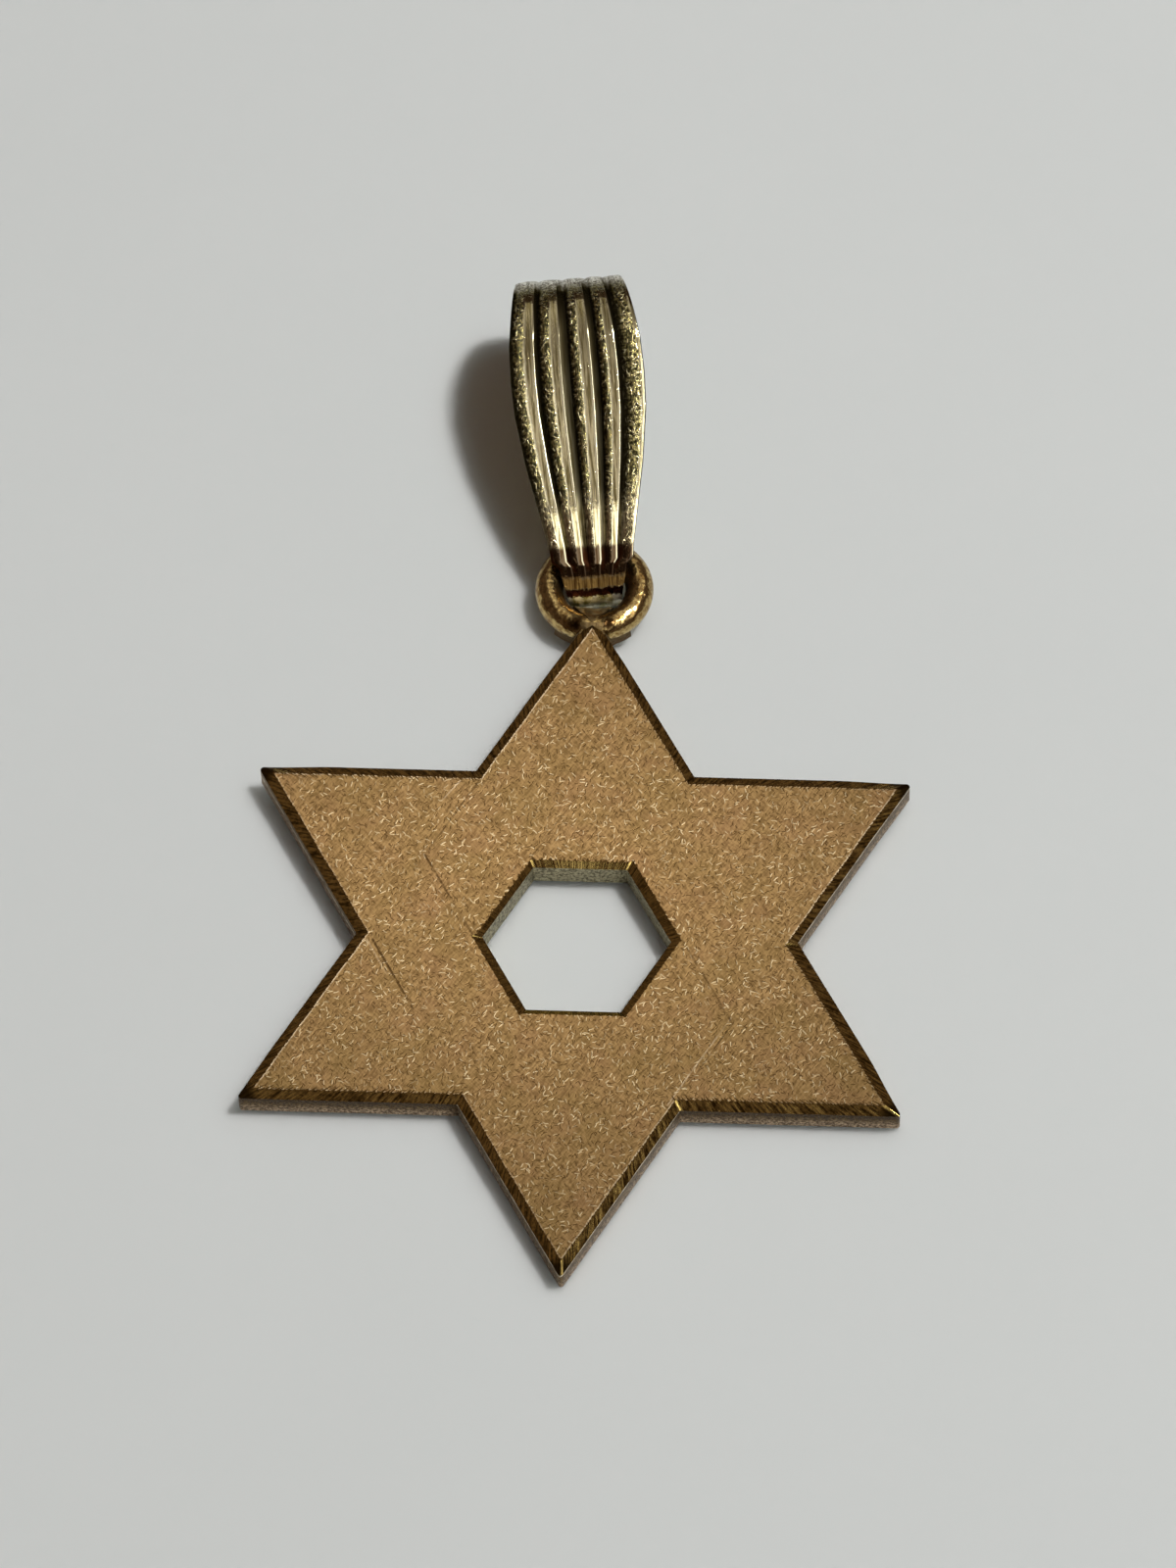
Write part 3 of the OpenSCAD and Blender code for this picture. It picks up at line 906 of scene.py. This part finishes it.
# Over its last run in front the strip bends down a little before the shoulder's tighter turn.
bend = math.radians(12)
bend_share = 0.33
front_end = shoulder[:2] + shoulder[2] * np.array([math.cos(front_turn), math.sin(front_turn)])
front_start = fold[:2] + fold[2] * np.array([math.cos(front_turn), math.sin(front_turn)])
front_length = np.hypot(*(front_end - front_start))
bend_drop = 0.5 * bend_share * front_length * math.tan(bend)
low_end = front_end - bend_drop * np.array([math.cos(front_turn), math.sin(front_turn)])
low_shoulder = np.append(low_end - shoulder[2] * np.array([math.cos(front_turn + bend),
                                                           math.sin(front_turn + bend)]), shoulder[2])
web_turn = tangent_turn(low_shoulder, toe) % (2 * math.pi)


def strip_stations(counts):
    """Stations once round the strip's outside: y, z, outward direction, and place. A turn goes round
    its circle, and a straight run goes evenly from the end of one turn to the start of the next; the
    front run drops at its end by the square of the way past where it starts to bend."""
    legs = [(toe, fold, under_turn, under_turn, 0, 1), (fold, fold, under_turn, front_turn, 1, 1),
            (fold, shoulder, front_turn, front_turn, 2, 1),
            (low_shoulder, low_shoulder, front_turn + bend, web_turn, 3, 0.3),
            (low_shoulder, toe, web_turn, web_turn, 3.3, 0.3),
            (toe, toe, web_turn, under_turn + 2 * math.pi, 3.6, 0.4)]
    rows = []
    for (first, second, turn, next_turn, start, places), n in zip(legs, counts):
        share = np.arange(n)[:, None] / n
        way_out = turn + share * (next_turn - turn)
        circle = first + share * (second - first)
        spot = circle[:, :2] + circle[:, 2:] * np.hstack([np.cos(way_out), np.sin(way_out)])
        if start == 2:
            past = np.maximum((share - 1 + bend_share) / bend_share, 0)
            spot = spot - bend_drop * past ** 2 * np.array([math.cos(turn), math.sin(turn)])
            way_out = way_out + np.arctan(past * math.tan(bend))
        rows.append(np.hstack([spot, way_out, start + share * places]))
    return np.concatenate(rows)


STRIP_STEPS = (50, 90, 90, 22, 12, 26)
INSIDE_STEPS = 14
stations = strip_stations(STRIP_STEPS)
# Each rib rises in a round grainy slope to its crest, runs on to the right as a narrow burnished flat
# that leans a little, and falls steeply into the next groove.
rib_crest = np.array([0.51, 0.43, 0.41, 0.46, 0.86])
rib_edge = np.array([0.86, 0.73, 0.77, 0.84, 0.95])
rib_top = np.array([1, 1, 1, 1, 0.9])
flat_lean = np.tan(np.radians([4.5, 4.0, 5.0, 6.0, 14.5]))
slope_power = 2.4
steep_start = 0.35
rib_steps = np.concatenate([np.linspace(0, 0.88, 7), [1.0, 1.12, 1.4, 1.7, 1.9, 2.0, 2.2, 2.5, 2.75]])
step_rib = np.repeat(np.arange(RIBS), len(rib_steps))
step_part = np.tile(rib_steps, RIBS)
part_wide = np.diff([np.zeros(RIBS), rib_crest, rib_edge, np.ones(RIBS)], axis=0)
rib_way = sum(np.clip(step_part - part, 0, 1) * part_wide[part, step_rib] for part in range(3))
rib_wide = (np.diff(valleys) * bail_w)[step_rib]
flat_drop = (flat_lean * (rib_edge - rib_crest))[step_rib] * rib_wide / rib_depth
rise = 1 - np.clip(1 - step_part, 0, 1) ** slope_power
flat = flat_drop * np.clip(step_part - 1, 0, 1)
past_edge = np.clip(step_part - 2, 0, 1)
fall = steep_start * past_edge + (1 - steep_start) * past_edge ** 2
rib_high = (rise - flat - (1 - flat_drop) * fall) * rib_top[step_rib]
rib_share = np.append(valleys[step_rib] + rib_way * np.diff(valleys)[step_rib], 1.0)
rib_high = np.append(rib_high, 0.0)
inside_share = np.linspace(1, 0, INSIDE_STEPS)
share_across = np.concatenate([rib_share, inside_share])
outside = np.concatenate([np.ones(len(rib_share)), np.zeros(INSIDE_STEPS)])
high = np.concatenate([rib_high, np.zeros(INSIDE_STEPS)])

place_on_strip = stations[:, 3]
width = (bail_w * np.interp(place_on_strip, strip_places, strip_main)
         + bail_end_w * np.interp(place_on_strip, strip_places, strip_end))
depth = rib_depth * np.interp(place_on_strip, strip_places, strip_ribs) * width / bail_w
inset = np.where(outside[None, :] > 0, depth[:, None] * (1 - high[None, :]), strip_t) + strip_under_cad
bail_x = (share_across[None, :] - 0.5) * width[:, None]
bail_y = stations[:, 0:1] - inset * np.cos(stations[:, 2:3])
bail_z = stations[:, 1:2] - inset * np.sin(stations[:, 2:3])
# The strip's frame starts over the ring's centre, taken as if the star lay quite flat.
bail_origin_y = pivot_y + star_radius + ring_y
bail_points = np.stack([bail_x * math.cos(bail_lean) - bail_y * math.sin(bail_lean),
                        bail_origin_y + bail_x * math.sin(bail_lean) + bail_y * math.cos(bail_lean),
                        bail_z], -1).reshape(-1, 3) / 1000
bail_quads = closed_loops(len(stations), len(share_across))

# The bail's gold: pale and burnished on the flat of each rib, with fine lines drawn along it and painted
# highlights along both its edges, grainy on the slope, frosted and creamy over the fold. Painted shade makes
# the grooves and each slope's foot black, dims the flats towards the fold and darkens the ribs' ends to a
# deep maroon, and painted highlights brighten the slopes near the shoulder. Inside the ring it is a plain
# plate, then a painted shadow as a dark band and a bright crescent on the turn of the toe.
polish_gold = ((0.33, 0.275, 0.115), (0.97, 0.87, 0.54))
flat_edge_highlight = (1.0, 0.94, 0.66)
flat_fold_shade = (0.16, 0.13, 0.06)
slope_gold = ((0.025, 0.020, 0.005), (0.46, 0.40, 0.17))
curl_bright = (0.95, 0.86, 0.54)
shoulder_slope_highlight = (0.95, 0.84, 0.52)
frost_gold = ((0.05, 0.042, 0.008), (0.36, 0.33, 0.11))
cream_gold = ((0.13, 0.095, 0.035), (1.0, 0.98, 0.86))
groove_painted_shade = (0.016, 0.012, 0.005)
end_painted_shade = (0.042, 0.012, 0.004)
plate_gold = ((0.12, 0.06, 0.015), (0.55, 0.36, 0.12))
ring_hole_shadow_dark = (0.05, 0.015, 0.008)
crescent_gold = ((0.40, 0.36, 0.15), (1.0, 0.94, 0.74))
shade_sheen = (0.02, 0.012, 0.008)
bright_curls = [
    # shift x and y, cells to a millimetre, length, width, bow, share kept
    (0, 0, 3.2, 0.13, 0.028, 9.0, 0.75),
    (3.1, 5.7, 4.6, 0.09, 0.024, 14.0, 0.7),
]


def stripe(tree, value, start, full, fading, end):
    """Goes up from start to full and down again from fading to end."""
    return product(tree, fade(tree, value, start, full), fade(tree, value, end, fading))


bail_material, tree, surface = new_material("polished_bail")
rib_parts = parts_of(tree, uv_place(tree, "rib_place"))
across = rib_parts[0]
along = rib_parts[1]
place = millimetres(tree)
wander = grain(tree, place, 2.4, 4.0, 0.62)
orange_peel = grain(tree, place, 9.0, 4.0, 0.66)
strip_uv = uv_place(tree, "strip_place")
drawn_out = add(tree, "Mapping", {"Vector": strip_uv, "Scale": (10, 0.55, 1)}).outputs[0]
drawn = grain(tree, drawn_out, 1.0, 3.0, 0.6)
curls = flecks(tree, place, bright_curls)
flakes = linear(tree, drawn, 0.6, orange_peel)
part = calc(tree, "ADD", across, linear(tree, wander, 0.5, -0.25))
uneven = calc(tree, "ADD", wander, orange_peel)
ragged = linear(tree, uneven, 0.11, along)
torn = linear(tree, uneven, 0.07, along)
# Near the shoulder more of each rib takes the flat's pale colour: a painted highlight.
grainy = product(tree, fade(tree, part, 0.97, 0.84), fade(tree, along, 2.72, 2.86, 1.0, 0.6))
over_fold = fade(tree, along, 1.40, 1.55)
frost = product(tree, over_fold, fade(tree, ragged, 1.945, 1.885))
cream = product(tree, over_fold, fade(tree, ragged, 1.90, 1.80))
near_shoulder = stripe(tree, along, 2.66, 2.86, 2.94, 2.97)
# Painted highlights along the left and right edges of each flat.
highlight_left = stripe(tree, part, 0.90, 1.0, 1.10, 1.20)
highlight_right = stripe(tree, across, 1.70, 1.80, 1.98, 2.05)
left_of_slope = product(tree, fade(tree, part, 0.46, 0.16), fade(tree, across, -0.5, -0.2))
# Painted shade: the grooves and the foot of each slope are black.
groove = product(tree, largest(tree, fade(tree, across, 1.95, 2.02), left_of_slope),
                 linear(tree, cream, -0.85, 1.0), linear(tree, near_shoulder, -0.35, 1.0),
                 fade(tree, along, 3.38, 3.32))
# Painted shade at the ribs' ends, where the strip turns down, in a dark maroon.
ends = product(tree, fade(tree, linear(tree, drawn, 0.05, along), 2.952, 2.972),
               fade(tree, along, 3.41, 3.38), linear(tree, highlight_right, -0.62, 1.0))
plate = stripe(tree, torn, 3.43, 3.49, 3.56, 3.59)
# A painted shadow inside the ring, laid on as a dark band.
ring_hole_shadow = stripe(tree, torn, 3.56, 3.59, 3.64, 3.66)
crescent = largest(tree, fade(tree, torn, 3.64, 3.66), fade(tree, along, 0.25, 0.20))
polish = layered(tree, shaded(tree, drawn, 0.41, 0.575, polish_gold), [
    (largest(tree, highlight_left, highlight_right), 0.95, flat_edge_highlight),
    # Painted shade dims the flats towards the fold.
    (fade(tree, along, 2.40, 1.88), 0.78, flat_fold_shade),
])
slope = layered(tree, shaded(tree, orange_peel, 0.43, 0.62, slope_gold), [
    (curls, 0.85, curl_bright),
    # Near the shoulder the slopes are painted paler: a painted highlight.
    (fade(tree, flakes, 0.66, 0.88, 0.15, 0.9), near_shoulder, shoulder_slope_highlight),
])
gold = layered(tree, tint(tree, grainy, polish, slope), [
    (frost, 0.85, shaded(tree, orange_peel, 0.40, 0.64, frost_gold)),
    (cream, 0.9, shaded(tree, flakes, 0.74, 0.86, cream_gold)),
    (groove, 0.96, groove_painted_shade),
    (ends, 0.9, end_painted_shade),
    (plate, 1.0, shaded(tree, drawn, 0.35, 0.65, plate_gold)),
    (ring_hole_shadow, 1.0, ring_hole_shadow_dark),
    (crescent, 1.0, shaded(tree, wander, 0.40, 0.60, crescent_gold)),
])
# In the painted shade of the grooves, the ribs' ends and the band inside the ring, the bright look that the
# metal has at a low angle is taken away as well.
painted_shade_mask = largest(tree, groove, ends, ring_hole_shadow)
tree.links.new(tint(tree, painted_shade_mask, (1, 1, 1), shade_sheen), surface.inputs["Specular Tint"])
roughness = between(tree, grainy, fade(tree, drawn, 0.3, 0.7, 0.03, 0.07), 0.24)
roughness = between(tree, frost, roughness, 0.22)
roughness = between(tree, largest(tree, groove, plate), roughness, 0.5)
roughness = between(tree, crescent, roughness, 0.32)
lumps = linear(tree, curls, 0.4, calc(tree, "SUBTRACT", orange_peel, 0.5))
lumps = product(tree, lumps, linear(tree, largest(tree, grainy, frost), 0.93, 0.07))
metal_finish(tree, surface, gold, roughness, linear(tree, drawn, 0.05, lumps), 0.6, 0.00005)

SHARP_BAIL_EDGE = 30
fluted_bail = build_mesh("fluted_bail", bail_points, bail_quads, np.zeros(len(bail_quads)), [bail_material],
                         SHARP_BAIL_EDGE)
strip_run = running_length(bail_y[:, 0], bail_z[:, 0])
strip_i, strip_j = np.divmod(bail_quads, len(share_across))
station = unwrapped(strip_i, len(stations))
add_uv(fluted_bail.data, "strip_place", bail_x[strip_i, strip_j], strip_run[station])
# Across, the part of the rib: 0 to 1 on its slope, to 2 on its flat and to 3 in the groove, or -1 inside;
# along, the place on the strip. A quad's right column ends the part that its left column is in.
part_left = np.concatenate([step_part, np.full(1 + INSIDE_STEPS, -1.0)])
part_right = np.concatenate([step_part[1:], [3.0], np.full(1 + INSIDE_STEPS, -1.0)])
part_right = np.where(part_right == 0, 3.0, part_right)
place_ahead = np.append(place_on_strip, 4.0)
left_column = strip_j[:, 0:1]
corner_part = np.where(strip_j == left_column, part_left[left_column], part_right[left_column])
add_uv(fluted_bail.data, "rib_place", corner_part, place_ahead[station])
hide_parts("bail")
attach(fluted_bail, "root")
